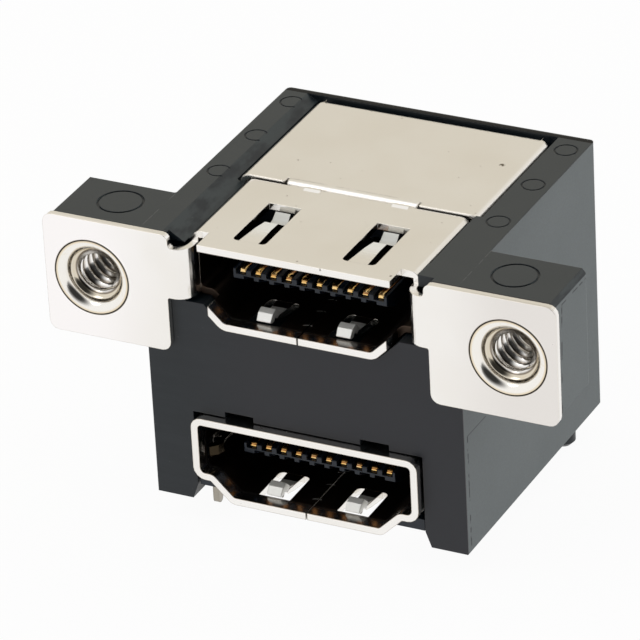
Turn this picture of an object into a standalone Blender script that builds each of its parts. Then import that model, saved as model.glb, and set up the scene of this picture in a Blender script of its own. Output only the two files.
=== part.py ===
# Stacked video socket: two D-shaped ports in one moulded housing, with panel flanges and threaded ears.
#
# Sizes are in metres. In the socket's own frame x = 0 is the middle, y = 0 is the housing's front
# face and z = 0 is the circuit board. X runs across the front, Y into the socket and Z up. An empty
# lifts that frame so that the whole part stands on its board tails, centred over the origin.

import math

import bmesh
import bpy
from mathutils import Matrix, Vector

# Housing
side_wall = 0.0022
front_wall = 0.0020
back_wall = 0.0004
top_room = 0.00014
cavity_room = 0.000635
bay_room = 0.000205
rear_room = 0.0016
front_corner = 0.00015
back_corner = 0.0003
leg_draft = 0.00037
leg_draft_height = 0.0010
left_bevel_width = 0.00072
left_bevel_depth = 0.00045
support_width = 0.0084
support_thickness = 0.0008
ear_depth = 0.0046
ear_setback = 0.0003
ear_chamfer = 0.00028
mark_depth = 0.00006
mark_line = 0.00012
ear_mark_depth = 0.00010
ear_mark_line = 0.00016
ear_mark_diameter = 0.0029
ear_mark_shift = 0.0007
ear_mark_place = 0.0024
wall_mark_diameter = 0.0015
wall_mark_insets = (0.0116, 0.0066, 0.0018)
peg_diameter = 0.0015
peg_length = 0.0014
peg_chamfer = 0.0003
peg_inset = 0.0034

# Ports: one D-shaped opening, used twice
port_width = 0.0140
port_height = 0.0046
port_shelf_width = 0.00085
port_shelf_height = 0.00132
port_slope_width = 0.00135
port_top_radius = 0.00025
port_shelf_radius = 0.00035
lower_floor_radius = 0.0003
upper_floor_radius = 0.0005
port_knee_radius = 0.00061
port_floor = 0.00096
port_pitch = 0.01185
port_seam = 0.00008

# Sheet metal shells
sheet = 0.00045
aperture_gap = 0.00010
aperture_headroom = 0.00007
finger_notch_width = 0.00188
finger_notch_inset = 0.00309
finger_notch_height = 0.00037
saddle_gap = 0.00012
lower_lip = 0.00062
upper_lip = 0.00062
upper_lip_inset = 0.00075
floor_lip_inset = 0.00118
floor_lip = 0.00055
shell_relief = 0.0010
plate_seam = 0.00018
top_tab_width = 0.0011
top_tab_spacing = 0.0058
top_tab_height = 0.00012
bend_gap = 0.00002

# Panel flanges, bent out of the upper shell's sides
flange_margin = 0.0031
flange_drop = 0.0040
flange_offset = 0.00105
flange_radius = 0.0006
flange_bend = 0.0009
neck_bottom = 0.00099
neck_top_drop = 0.00028
neck_clearance = 0.00012
notch_recess = 0.00045
notch_offset = 0.00085
notch_radius = 0.00028
flange_leg = 0.0007

# Spring fingers: the top ones are rooted at the front, the floor and side ones at the back
top_finger_spacing = 0.0071
top_window_start = 0.00078
top_window_length = 0.00490
top_window_width = 0.00215
floor_finger_spacing = 0.0052
floor_window_start = 0.00035
floor_window_length = 0.00290
floor_window_width = 0.00205
side_finger_height = 0.00225
side_window_length = 0.00360
side_window_width = 0.00125
lower_side_start = 0.00040
side_root_gap = 0.0001
window_radius = 0.0003
finger_root = 0.0003
finger_lift = 0.00072
finger_slot = 0.00044
# Along a finger, as shares of its length, of its lift and of its root width
finger_shape = ((0.0, 0.0, 1.0), (0.40, 0.12, 0.80), (0.60, 0.28, 0.68), (0.67, 0.60, 0.82),
                (0.78, 1.0, 0.82), (0.86, 0.88, 0.82), (0.96, 0.36, 0.78))

# Rear shield
shield_sheet = 0.0004
shield_gap = 0.00018
shield_front_gap = 0.0003
shield_bend = 0.00045
shield_rear_bend = 0.00025
shield_corner = 0.00065
shield_corner_inset = 0.00028
wing_gap = 0.00006
shield_bottom = 0.0006
shield_back_gap = 0.0004
shield_slit = 0.00014
shield_slit_length = 0.00045
shield_slit_places = (-0.00484, 0.00387)
shield_fold = 0.00052
shield_fold_bend = 0.00024
tail_drop = 0.0017
tail_width = 0.00055
tail_roundness = 0.95
front_tail_inset = 0.0004
side_tail_insets = (0.0103, 0.0034)
rear_tail_spacing = 0.0102

# Insulators and tongues
block_front = 0.0077
block_length = 0.0029
block_step = 0.0006
body_depth = 0.0010
block_clearance = 0.00004
seat_clearance = 0.00005
cheek_bottom = 0.00095
cheek_front = 0.00015
joint_gap = 0.00019
tongue_margin = 0.0005
tongue_front = 0.0014
tongue_rise = 0.00274
tongue_thickness = 0.0011
tongue_nose = 0.00062
tongue_taper = 0.0010
tongue_edge_radius = 0.0001
groove_width = 0.00068
groove_depth = 0.00033
nose_notch_depth = 0.0002
nose_notch_length = 0.0006

# Contacts: ten above and nine below each tongue, each one bent strip
top_contacts = 10
bottom_contacts = 9
contact_pitch = 0.0010
contact_width = 0.0005
contact_thickness = 0.00022
contact_clearance = 0.00002
contact_setback = 0.00028
contact_bend = 0.0004
contact_drop = 0.0016
contact_tip_share = 0.5
row_gap = 0.0007
row_pitch = 0.0015
tip_length = 0.0002

# Tail aligner
aligner_bottom = 0.0001
aligner_top = 0.00088
aligner_margin = 0.0009
aligner_hole_gap = 0.00006

# Threaded inserts
insert_spacing = 0.0271
insert_drop = 0.0038
insert_head_radius = 0.00243
insert_body_step = 0.0003
insert_head_depth = 0.0009
insert_setback = 0.0002
insert_rim_width = 0.00014
insert_rim_round = 0.00005
insert_mouth_radius = 0.00176
insert_mouth_depth = 0.00055
insert_ring_radius = 0.00150
insert_ring_depth = 0.00082
insert_bore_radius = 0.00128
insert_clearance = 0.00003
flange_hole_gap = 0.00004
round_sides = 32

# Building aids: how far a cutter runs past a face, and how far a joined sheet sits inside its neighbour
past = 0.0005
tuck = 0.00001
fillet_steps = 4
bend_steps = 8
sharp_angle = math.radians(35)
drawing_scale = 1000.0

# Values worked out from the sizes above: across
half_port = port_width / 2
shell_half = half_port + sheet
half_cavity = shell_half + cavity_room
half_housing = half_cavity + side_wall
half_bay = shell_half + bay_room
half_aperture = shell_half + aperture_gap
insert_x = insert_spacing / 2
half_panel = insert_x + flange_margin
half_ear = half_panel - ear_setback
flange_inner = shell_half + flange_offset
notch_inner = shell_half + notch_offset
shield_half = half_cavity - shield_gap
block_half = shield_half - shield_sheet - seat_clearance
tongue_width = (top_contacts - 1) * contact_pitch + 2 * tongue_margin

# Up
upper_floor = port_floor + port_pitch
lower_top = port_floor + port_height + sheet
housing_height = lower_top + port_pitch + top_room
aperture_top = lower_top + aperture_headroom
insert_height = housing_height - insert_drop
flange_bottom = insert_height - flange_drop
ear_bottom = flange_bottom + ear_setback
wing_height = upper_floor - sheet - wing_gap
insulator_joint = lower_top + joint_gap

# Into the socket
shield_start = front_wall + shield_front_gap
shell_bay_depth = block_front + block_step
shell_back = block_front + block_length
lower_block_back = shell_back + body_depth
tail_rows = [lower_block_back + row_gap + row * row_pitch for row in range(4)]
upper_block_back = tail_rows[2] - row_gap
housing_depth = tail_rows[3] + aligner_margin + rear_room + back_wall
shield_back = housing_depth - back_wall - shield_back_gap
upper_top_back = shell_bay_depth - plate_seam
upper_side_start = block_front - side_root_gap - side_window_length
tail_stations = [shield_start + front_tail_inset] + [housing_depth - inset for inset in side_tail_insets]


def clear_scene():
    for thing in list(bpy.data.objects):
        bpy.data.objects.remove(thing, do_unlink=True)
    for group in list(bpy.data.collections):
        bpy.data.collections.remove(group)


def new_collection(name):
    group = bpy.data.collections.new(name)
    bpy.context.scene.collection.children.link(group)
    return group


def new_material(name, colour, roughness, metallic):
    material = bpy.data.materials.new(name)
    material.use_nodes = True
    shader = material.node_tree.nodes["Principled BSDF"]
    shader.inputs["Base Color"].default_value = (*colour, 1.0)
    shader.inputs["Roughness"].default_value = roughness
    shader.inputs["Metallic"].default_value = metallic
    return material


def part(name, mesh, material):
    """A sub-part: its own object and material, placed by the board seat empty."""
    thing = bpy.data.objects.new(name, mesh)
    parts.objects.link(thing)
    thing.parent = seat
    mesh.materials.clear()
    mesh.materials.append(material)
    return thing


def tool(name, mesh):
    """A cutter or a piece that is joined into a sub-part."""
    thing = bpy.data.objects.new(name, mesh)
    tools.objects.link(thing)
    thing.parent = seat
    thing.hide_render = True
    thing.display_type = "WIRE"
    return thing


def combine(target, other, operation):
    modifier = target.modifiers.new(operation.lower() + "_" + other.name, "BOOLEAN")
    modifier.operation = operation
    modifier.solver = "EXACT"
    modifier.object = other


def cut(target, other):
    combine(target, other, "DIFFERENCE")


def join(target, other):
    combine(target, other, "UNION")


def thicken(target, thickness, offset=0.0):
    modifier = target.modifiers.new("sheet_thickness", "SOLIDIFY")
    modifier.thickness = thickness
    modifier.offset = offset
    modifier.use_even_offset = True


# Meshes

def boxes_mesh(name, boxes):
    """One mesh of separate boxes, each given by its low and high corner."""
    mesh = bpy.data.meshes.new(name)
    shape = bmesh.new()
    for low, high in boxes:
        size = Vector(high) - Vector(low)
        place = Matrix.Translation((Vector(high) + Vector(low)) / 2) @ Matrix.Diagonal((*size, 1.0))
        bmesh.ops.create_cube(shape, size=1.0, matrix=place)
    shape.to_mesh(mesh)
    shape.free()
    return mesh


def copies_mesh(name, source, moves):
    """One mesh that repeats another at each of several places."""
    mesh = bpy.data.meshes.new(name)
    shape = bmesh.new()
    for move in moves:
        start = len(shape.verts)
        shape.from_mesh(source)
        shape.verts.ensure_lookup_table()
        bmesh.ops.translate(shape, verts=shape.verts[start:], vec=move)
    shape.to_mesh(mesh)
    shape.free()
    return mesh


def turned_to(axis):
    """Turns a drawing's plane (u, v) and its normal to stand across the given axis."""
    if axis == "x":
        return Matrix(((0, 0, 1, 0), (1, 0, 0, 0), (0, 1, 0, 0), (0, 0, 0, 1)))
    if axis == "y":
        return Matrix(((1, 0, 0, 0), (0, 0, -1, 0), (0, 1, 0, 0), (0, 0, 0, 1)))
    return Matrix.Identity(4)


def merge_caps(shape):
    """Joins the triangles that fill each end of an extrusion into one face."""
    for top in (False, True):
        cap = [face for face in shape.faces if all((vert.co.z > 0) == top for vert in face.verts)]
        bmesh.ops.dissolve_faces(shape, faces=cap)


def outline_mesh(name, outlines, axis, low, high):
    """Fills flat outlines as a 2D curve and extrudes them from low to high along an axis.

    The curve is drawn a thousand times larger and brought back, because the fill of a 2D curve
    merges points that lie closer than a few hundredths of a millimetre.
    """
    curve = bpy.data.curves.new(name, "CURVE")
    curve.dimensions = "2D"
    curve.fill_mode = "BOTH"
    curve.extrude = (high - low) / 2 * drawing_scale
    for outline in outlines:
        spline = curve.splines.new("POLY")
        spline.points.add(len(outline) - 1)
        for point, (u, v) in zip(spline.points, outline):
            point.co = (u * drawing_scale, v * drawing_scale, 0.0, 1.0)
        spline.use_cyclic_u = True
    drawing = bpy.data.objects.new(name, curve)
    tools.objects.link(drawing)
    evaluated = drawing.evaluated_get(bpy.context.evaluated_depsgraph_get())
    mesh = bpy.data.meshes.new_from_object(evaluated)
    bpy.data.objects.remove(drawing)
    middle = (low + high) / 2 * (-1 if axis == "y" else 1)
    place = turned_to(axis) @ Matrix.Translation((0, 0, middle)) @ Matrix.Scale(1 / drawing_scale, 4)
    shape = bmesh.new()
    shape.from_mesh(mesh)
    bmesh.ops.remove_doubles(shape, verts=shape.verts, dist=0.001)
    if len(outlines) == 1:
        merge_caps(shape)
    bmesh.ops.transform(shape, matrix=place, verts=shape.verts)
    bmesh.ops.recalc_face_normals(shape, faces=shape.faces)
    shape.to_mesh(mesh)
    shape.free()
    return mesh


def sheet_mesh(name, path, axis, low, high):
    """An open surface: a path drawn across an axis, run from low to high along it."""
    mesh = bpy.data.meshes.new(name)
    shape = bmesh.new()
    turn = turned_to(axis)
    side = -1 if axis == "y" else 1
    near = [shape.verts.new(turn @ Vector((u, v, side * low))) for u, v in path]
    far = [shape.verts.new(turn @ Vector((u, v, side * high))) for u, v in path]
    for index in range(len(path) - 1):
        shape.faces.new((near[index], near[index + 1], far[index + 1], far[index]))
    shape.to_mesh(mesh)
    shape.free()
    return mesh


def ribbon_mesh(name, stations, across):
    """A strip surface: each station gives its middle and half width, and across the width's way."""
    mesh = bpy.data.meshes.new(name)
    shape = bmesh.new()
    way = Vector(across)
    left = [shape.verts.new(Vector(middle) - way * half) for middle, half in stations]
    right = [shape.verts.new(Vector(middle) + way * half) for middle, half in stations]
    for index in range(len(stations) - 1):
        shape.faces.new((left[index], right[index], right[index + 1], left[index + 1]))
    shape.to_mesh(mesh)
    shape.free()
    return mesh


def turned_object(maker, name, profile, place, direction, closed):
    """A turned piece: a profile of (radius, height) with a Screw modifier, its top facing a way."""
    mesh = bpy.data.meshes.new(name)
    count = len(profile)
    edges = [(index, index + 1) for index in range(count - 1)]
    if closed:
        edges.append((count - 1, 0))
    mesh.from_pydata([(radius, 0.0, height) for radius, height in profile], edges, [])
    thing = maker(name, mesh)
    thing.location = place
    thing.rotation_euler = Vector((0, 0, 1)).rotation_difference(Vector(direction)).to_euler()
    screw = thing.modifiers.new("turning", "SCREW")
    screw.axis = "Z"
    screw.steps = round_sides
    screw.render_steps = round_sides
    screw.use_merge_vertices = True
    screw.merge_threshold = 0.000001
    screw.use_smooth_shade = True
    return thing


# Outlines

def rounded(points, radii, closed=True, steps=fillet_steps):
    """Rounds each corner of an outline with an arc of its own radius."""
    result = []
    count = len(points)
    for index, point in enumerate(points):
        radius = radii[index]
        at_end = not closed and index in (0, count - 1)
        if radius <= 0 or at_end:
            result.append(tuple(point))
            continue
        corner = Vector(point)
        before = Vector(points[index - 1]) - corner
        after = Vector(points[(index + 1) % count]) - corner
        half = before.angle(after) / 2
        reach = min(radius / math.tan(half), before.length * 0.49, after.length * 0.49)
        radius = reach * math.tan(half)
        before.normalize()
        after.normalize()
        centre = corner + (before + after).normalized() * radius / math.sin(half)
        start = corner + before * reach - centre
        end = corner + after * reach - centre
        sweep = math.pi - 2 * half
        for step in range(steps + 1):
            share = step / steps
            spoke = start * math.sin((1 - share) * sweep) + end * math.sin(share * sweep)
            result.append(tuple(centre + spoke / math.sin(sweep)))
    return result


def grown(points, distance):
    """Moves every side of a closed anticlockwise outline outward by a distance."""
    result = []
    count = len(points)
    for index in range(count):
        corner = Vector(points[index])
        way_in = (corner - Vector(points[index - 1])).normalized()
        way_out = (Vector(points[(index + 1) % count]) - corner).normalized()
        out_of_first = Vector((way_in.y, -way_in.x))
        out_of_second = Vector((way_out.y, -way_out.x))
        shift = (out_of_first + out_of_second) / (1 + out_of_first.dot(out_of_second))
        result.append(tuple(corner + shift * distance))
    return result


def mirrored(right_half):
    """Closes a right-hand run of points, given from the bottom up, with its mirror image."""
    return list(right_half) + [(-u, v) for u, v in reversed(right_half)]


def port_corners(floor):
    """The D-shaped opening's corners, anticlockwise from the right end of its floor."""
    knee = half_port - port_shelf_width
    right_half = [
        (knee - port_slope_width, floor),
        (knee, floor + port_shelf_height),
        (half_port, floor + port_shelf_height),
        (half_port, floor + port_height),
    ]
    return mirrored(right_half)


def port_radii(floor_radius, grow=0.0):
    """Corner radii that go with port_corners, at the sheet's inner face plus a growth."""
    right_half = [
        floor_radius + grow,
        max(port_knee_radius - grow, 0.0),
        port_shelf_radius + grow,
        port_top_radius + grow,
    ]
    return right_half + right_half[::-1]


def port_path(floor, floor_radius):
    """The shell's inner face as an open path that starts and ends at the seam in the floor."""
    ring = rounded(port_corners(floor), port_radii(floor_radius))
    return [(port_seam / 2, floor)] + ring + [(-port_seam / 2, floor)]


# Spring fingers. The stations give: distance from the root, lift off the sheet, half width.

def finger_stations(length, root_half):
    stations = [(-finger_root, 0.0, root_half)]
    for along, lift, width in finger_shape:
        stations.append((length * along, finger_lift * lift, root_half * width))
    return stations


def finger(name, root, run, lift, across, length, window_width):
    """A sprung tongue of sheet, tapered and curled at its tip, to be joined at its root."""
    root_half = window_width / 2 - finger_slot
    stations = []
    for distance, height, half in finger_stations(length, root_half):
        stations.append((Vector(root) + Vector(run) * distance + Vector(lift) * height, half))
    thing = tool(name, ribbon_mesh(name, stations, across))
    thicken(thing, sheet - 2 * tuck)
    return thing


def window_outline(start, length, middle, width, rounded_end):
    """A window's outline along y: rounded at the finger's root, square at its tip."""
    left = middle - width / 2
    right = middle + width / 2
    radius = min(window_radius, width / 4)
    radii = [radius, 0.0, 0.0, radius] if rounded_end == "front" else [0.0, radius, radius, 0.0]
    corners = [(left, start), (left, start + length), (right, start + length), (right, start)]
    return rounded(corners, radii)


def add_fingers(shell, label, floor, side_start):
    """Cuts the six windows of a shell and joins a finger in each."""
    ceiling_mid = floor + port_height + sheet / 2
    floor_mid = floor - sheet / 2
    wall_mid = half_port + sheet / 2
    finger_z = floor + side_finger_height
    top_root = top_window_start
    floor_root = floor_window_start + floor_window_length
    side_root = side_start + side_window_length
    for side, hand in ((-1, "left"), (1, "right")):
        place = side * top_finger_spacing / 2
        outline = window_outline(top_window_start, top_window_length, place, top_window_width, "front")
        mesh = outline_mesh("window", [outline], "z", ceiling_mid - sheet, ceiling_mid + sheet)
        cut(shell, tool(f"{label}_top_window_{hand}", mesh))
        join(shell, finger(f"{label}_top_finger_{hand}", (place, top_root, ceiling_mid), (0, 1, 0),
                           (0, 0, -1), (1, 0, 0), top_window_length, top_window_width))

        place = side * floor_finger_spacing / 2
        outline = window_outline(floor_window_start, floor_window_length, place, floor_window_width, "back")
        mesh = outline_mesh("window", [outline], "z", floor_mid - sheet, floor_mid + sheet)
        cut(shell, tool(f"{label}_floor_window_{hand}", mesh))
        join(shell, finger(f"{label}_floor_finger_{hand}", (place, floor_root, floor_mid), (0, -1, 0),
                           (0, 0, 1), (1, 0, 0), floor_window_length, floor_window_width))

        box = ((side * wall_mid - sheet, side_start, finger_z - side_window_width / 2),
               (side * wall_mid + sheet, side_root, finger_z + side_window_width / 2))
        cut(shell, tool(f"{label}_side_window_{hand}", boxes_mesh("window", [box])))
        join(shell, finger(f"{label}_side_finger_{hand}", (side * wall_mid, side_root, finger_z),
                           (0, -1, 0), (-side, 0, 0), (0, 0, 1), side_window_length,
                           side_window_width + finger_slot))


# Sub-parts

def build_lower_shell():
    path = port_path(port_floor, lower_floor_radius)
    mesh = sheet_mesh("lower_shell", path, "y", -lower_lip, shell_back)
    shell = part("lower_shell", mesh, nickel)
    thicken(shell, sheet, -1.0)
    add_fingers(shell, "lower", port_floor, lower_side_start)


def flange_outline(side):
    """The flange seen from the front: neck, relief notch and plate with rounded corners."""
    low_neck = upper_floor + neck_bottom
    high_neck = upper_floor + port_height - neck_top_drop
    corners = [
        (half_port - past, low_neck),
        (flange_inner, low_neck),
        (flange_inner, flange_bottom),
        (half_panel, flange_bottom),
        (half_panel, housing_height),
        (notch_inner, housing_height),
        (notch_inner, high_neck),
        (half_port - past, high_neck),
    ]
    radii = [0.0, notch_radius / 2, flange_radius, flange_radius, flange_radius,
             flange_radius, notch_radius, 0.0]
    outline = rounded(corners, radii)
    if side < 0:
        outline = [(-u, v) for u, v in reversed(outline)]
    return outline


def circle(radius, centre, sides):
    u, v = centre
    turns = [2 * math.pi * step / sides for step in range(sides)]
    return [(u + radius * math.cos(turn), v + radius * math.sin(turn)) for turn in turns]


def flange(side, hand):
    """A panel flange: a strip bent outward from the shell's side, then trimmed to its outline."""
    wall = half_port + sheet / 2
    face = -bend_gap - sheet / 2
    path = rounded([(wall, shell_relief + flange_leg), (wall, face), (half_panel + past, face)],
                   [0.0, flange_bend, 0.0], closed=False, steps=bend_steps)
    path = [(side * u, v) for u, v in path]
    mesh = sheet_mesh("flange", path, "z", flange_bottom - past, housing_height + past)
    strip = tool(f"flange_strip_{hand}", mesh)
    thicken(strip, sheet - 2 * tuck)
    hole_radius = insert_head_radius + flange_hole_gap
    hole = circle(hole_radius, (side * insert_x, insert_height), round_sides)
    trim = outline_mesh("flange_trim", [flange_outline(side), hole], "y", -2 * past,
                        shell_relief + flange_leg + past)
    combine(strip, tool(f"flange_trim_{hand}", trim), "INTERSECT")
    return strip


def top_tab_outline(ceiling):
    """A small tab seen from the side, pushed up at the back edge of the upper shell's top."""
    back = upper_top_back - tuck
    top = ceiling + sheet + top_tab_height
    return [(back - 3 * top_tab_height, ceiling + sheet / 2), (back, ceiling + sheet / 2), (back, top),
            (back - top_tab_height, top), (back - 3 * top_tab_height, ceiling + sheet - tuck)]


def build_upper_shell():
    path = port_path(upper_floor, upper_floor_radius)
    mesh = sheet_mesh("upper_shell", path, "y", -upper_lip, shell_back)
    shell = part("upper_shell", mesh, nickel)
    thicken(shell, sheet, -1.0)
    ceiling = upper_floor + port_height
    reach = shell_half + past
    front = -upper_lip - past
    middle = upper_floor + port_height / 2
    lip = half_port - upper_lip_inset
    trims = [
        ((-reach, front, middle - past), (-lip, shell_relief, ceiling + 2 * past)),
        ((lip, front, middle - past), (reach, shell_relief, ceiling + 2 * past)),
    ]
    cut(shell, tool("upper_corner_trim", boxes_mesh("trim", trims)))
    lip_end = half_port - floor_lip_inset
    trims = [
        ((-reach, front, upper_floor - past), (-lip_end, shell_relief, middle)),
        ((lip_end, front, upper_floor - past), (reach, shell_relief, middle)),
    ]
    cut(shell, tool("lower_corner_trim", boxes_mesh("trim", trims)))
    trims = [
        ((-lip - past, front, upper_floor - past - sheet), (lip + past, -floor_lip, middle)),
        ((-reach, upper_top_back, middle + port_height / 4), (reach, shell_back + past, ceiling + 2 * past)),
    ]
    cut(shell, tool("upper_edge_trim", boxes_mesh("trim", trims)))
    half_tab = top_tab_width / 2
    tab = outline_mesh("tab", [top_tab_outline(ceiling)], "x", -half_tab, half_tab)
    moves = [(side * top_tab_spacing / 2, 0.0, 0.0) for side in (-1, 1)]
    join(shell, tool("upper_top_tabs", copies_mesh("tabs", tab, moves)))
    add_fingers(shell, "upper", upper_floor, upper_side_start)
    for side, hand in ((-1, "left"), (1, "right")):
        join(shell, flange(side, hand))


def rounded_tail(middle, top, half, tip):
    """A board tail's outline: straight sides and a round tip."""
    corners = [(middle - half, top), (middle - half, tip), (middle + half, tip), (middle + half, top)]
    radius = half * tail_roundness
    return rounded(corners, [0.0, radius, radius, 0.0])


def trimmed_corner(side):
    """What is trimmed off the plate's rear corner seen from above: a square less a quarter circle."""
    inner = shield_half - shield_corner
    near = shield_back - shield_corner_inset - shield_corner
    turns = [math.pi / 2 * step / fillet_steps for step in range(fillet_steps + 1)]
    arc = [(inner + shield_corner * math.sin(turn), near + shield_corner * math.cos(turn)) for turn in turns]
    outline = arc + [(shield_half + past, near), (shield_half + past, shield_back + past),
                     (inner, shield_back + past)]
    return [(side * u, v) for u, v in outline]


def build_rear_shield():
    middle = shield_half - shield_sheet / 2
    top = housing_height - shield_sheet / 2
    path = rounded([(-middle, shield_bottom), (-middle, top), (middle, top), (middle, shield_bottom)],
                   [0.0, shield_bend, shield_bend, 0.0], closed=False)
    shield = part("rear_shield", sheet_mesh("rear_shield", path, "y", shield_start, shield_back), nickel)
    thicken(shield, shield_sheet)
    opening = ((-half_cavity - past, shield_start - past, wing_height),
               (half_cavity + past, shell_bay_depth, housing_height + past))
    cut(shield, tool("shield_opening", boxes_mesh("opening", [opening])))

    slit_back = shell_bay_depth + shield_slit_length
    left, right = [place + side * shield_slit / 2 for place, side in zip(shield_slit_places, (-1, 1))]
    slits = ((left, shell_bay_depth - past, top - past), (right, slit_back, top + past))
    cut(shield, tool("shield_front_trim", boxes_mesh("slits", [slits])))
    fold_y = shell_bay_depth + shield_sheet / 2
    path = rounded([(slit_back + past, top), (fold_y, top), (fold_y, housing_height - shield_fold)],
                   [0.0, shield_fold_bend, 0.0], closed=False)
    mesh = sheet_mesh("fold", path, "x", left + shield_slit, right - shield_slit)
    fold = tool("shield_front_fold", mesh)
    thicken(fold, shield_sheet - 2 * tuck)
    join(shield, fold)

    back = shield_back - shield_sheet / 2
    half_back = shield_half - shield_corner
    bend_start = back - shield_rear_bend
    rear = ((tuck - half_back, bend_start, top - past), (half_back - tuck, shield_back + past, top + past))
    cut(shield, tool("shield_rear_trim", boxes_mesh("rear", [rear])))
    path = rounded([(bend_start - past, top), (back, top), (back, shield_bottom)],
                   [0.0, shield_rear_bend, 0.0], closed=False)
    back_sheet = tool("shield_back_sheet", sheet_mesh("back", path, "x", -half_back, half_back))
    thicken(back_sheet, shield_sheet - 2 * tuck)
    join(shield, back_sheet)
    for side, hand in ((-1, "left"), (1, "right")):
        mesh = outline_mesh("corner", [trimmed_corner(side)], "z", housing_height - shield_corner,
                            housing_height + past)
        cut(shield, tool(f"shield_corner_{hand}", mesh))

    root = shield_bottom + past
    half = tail_width / 2
    thin = shield_sheet / 2 - tuck
    tail = outline_mesh("tail", [rounded_tail(0.0, root, half, -tail_drop)], "x", -thin, thin)
    moves = [(side * middle, place, 0.0) for side in (-1, 1) for place in tail_stations]
    join(shield, tool("shield_side_tails", copies_mesh("side_tails", tail, moves)))
    tail = outline_mesh("tail", [rounded_tail(0.0, root, half, -tail_drop)], "y", -thin + tuck, thin - tuck)
    moves = [(side * rear_tail_spacing / 2, back, 0.0) for side in (-1, 1)]
    join(shield, tool("shield_rear_tails", copies_mesh("rear_tails", tail, moves)))


def tongue_grooves(ridge):
    """Cutter meshes for the ten grooves on top of a tongue and the nine under it."""
    floor = ridge - groove_depth
    start = tongue_front - past
    end = upper_block_back + past
    upper = [(start, floor), (end, floor), (end, ridge + past / 5), (start, ridge + past / 5)]
    under = ridge - tongue_thickness
    notch = ridge - tongue_nose + nose_notch_depth
    step = tongue_front + nose_notch_length
    lower = [(start, notch), (step, notch), (step, under + groove_depth), (end, under + groove_depth),
             (end, under - past / 5), (start, under - past / 5)]
    half = groove_width / 2
    top = outline_mesh("top_groove", [upper], "x", -half, half)
    bottom = outline_mesh("bottom_groove", [lower[::-1]], "x", -half, half)
    return (copies_mesh("top_grooves", top, [(x, 0, 0) for x in contact_places(top_contacts)]),
            copies_mesh("bottom_grooves", bottom, [(x, 0, 0) for x in contact_places(bottom_contacts)]))


def contact_places(count):
    return [(index - (count - 1) / 2) * contact_pitch for index in range(count)]


def tongue_mesh(ridge):
    """The tongue seen from the side: level on top, thinned under its nose."""
    under = ridge - tongue_thickness
    nose = tongue_front + tongue_taper
    outline = [(tongue_front, ridge - tongue_nose), (nose, under), (block_front + past, under),
               (block_front + past, ridge), (tongue_front, ridge)]
    radii = [0.0, 0.0, 0.0, 0.0, tongue_edge_radius]
    return outline_mesh("tongue", [rounded(outline, radii)], "x", -tongue_width / 2, tongue_width / 2)


def insulator(name, floor, floor_radius, body_boxes):
    """A block that fills the back of a shell, its rear body and the grooved tongue."""
    outline = rounded(grown(port_corners(floor), -block_clearance),
                      port_radii(floor_radius, -block_clearance))
    block = outline_mesh(name, [outline], "y", block_front, shell_back + 2 * seat_clearance)
    body = part(name, block, insulator_black)
    for index, box in enumerate(body_boxes):
        join(body, tool(f"{name}_body_{index}", boxes_mesh("body", [box])))
    ridge = floor + tongue_rise
    join(body, tool(f"{name}_tongue", tongue_mesh(ridge)))
    return body


def cut_grooves(body, floor):
    above, below = tongue_grooves(floor + tongue_rise)
    cut(body, tool(f"{body.name}_top_grooves", above))
    cut(body, tool(f"{body.name}_bottom_grooves", below))


def cheek_outline(side):
    """The moulding beside and under the lower shell's corner, clear of the shell's outer face."""
    corners = grown(port_corners(port_floor), sheet + saddle_gap)
    floor_corner, knee, shelf = corners[0], corners[1], corners[2]
    share = (cheek_bottom - floor_corner[1]) / (knee[1] - floor_corner[1])
    start = floor_corner[0] + (knee[0] - floor_corner[0]) * share
    outside = block_half - tuck
    bottom = cheek_bottom + tuck
    outline = [(start, bottom), (outside, bottom), (outside, shelf[1]), knee]
    if side < 0:
        outline = [(-u, v) for u, v in reversed(outline)]
    return outline


def build_lower_insulator():
    start = shell_back + seat_clearance
    body_box = ((-block_half, start, cheek_bottom), (block_half, lower_block_back, insulator_joint))
    body = insulator("lower_insulator", port_floor, lower_floor_radius, [body_box])
    for side, hand in ((-1, "left"), (1, "right")):
        cheek = outline_mesh("cheek", [cheek_outline(side)], "y", cheek_front, start + past)
        join(body, tool(f"cheek_{hand}", cheek))
    cut_grooves(body, port_floor)


def build_upper_insulator():
    start = shell_back + seat_clearance
    ceiling = upper_floor + port_height - block_clearance
    body_box = ((-block_half, start, insulator_joint + contact_clearance),
                (block_half, upper_block_back, ceiling - tuck))
    body = insulator("upper_insulator", upper_floor, upper_floor_radius, [body_box])
    cut_grooves(body, upper_floor)


def contact_stations(height, start, row):
    """A contact's middle line: along the tongue, round one bend and down to the board."""
    bend_y = row - contact_bend
    bend_z = height - contact_bend
    half = contact_width / 2
    stations = [((0, start, height - contact_thickness / 4), half * contact_tip_share),
                ((0, start + tip_length, height), half)]
    for step in range(fillet_steps + 1):
        turn = math.pi / 2 * step / fillet_steps
        point = (0, bend_y + contact_bend * math.sin(turn), bend_z + contact_bend * math.cos(turn))
        stations.append((point, half))
    stations.append(((0, row, tip_length - contact_drop), half))
    stations.append(((0, row, -contact_drop), half * contact_tip_share))
    return stations


def build_contacts():
    for level, floor, first in (("lower", port_floor, 0), ("upper", upper_floor, 2)):
        ridge = floor + tongue_rise
        rest = contact_clearance + contact_thickness / 2
        above = ridge - groove_depth + rest
        below = ridge - tongue_thickness + groove_depth - rest
        runs = [
            (bottom_contacts, below, tongue_front + tongue_taper, tail_rows[first]),
            (top_contacts, above, tongue_front + contact_setback, tail_rows[first + 1]),
        ]
        number = 0
        for count, height, start, row in runs:
            mesh = ribbon_mesh("contact", contact_stations(height, start, row), (1, 0, 0))
            for place in contact_places(count):
                number += 1
                contact = part(f"{level}_contact_{number:02d}", mesh, gold)
                contact.location = (place, 0, 0)
                thicken(contact, contact_thickness)


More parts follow.
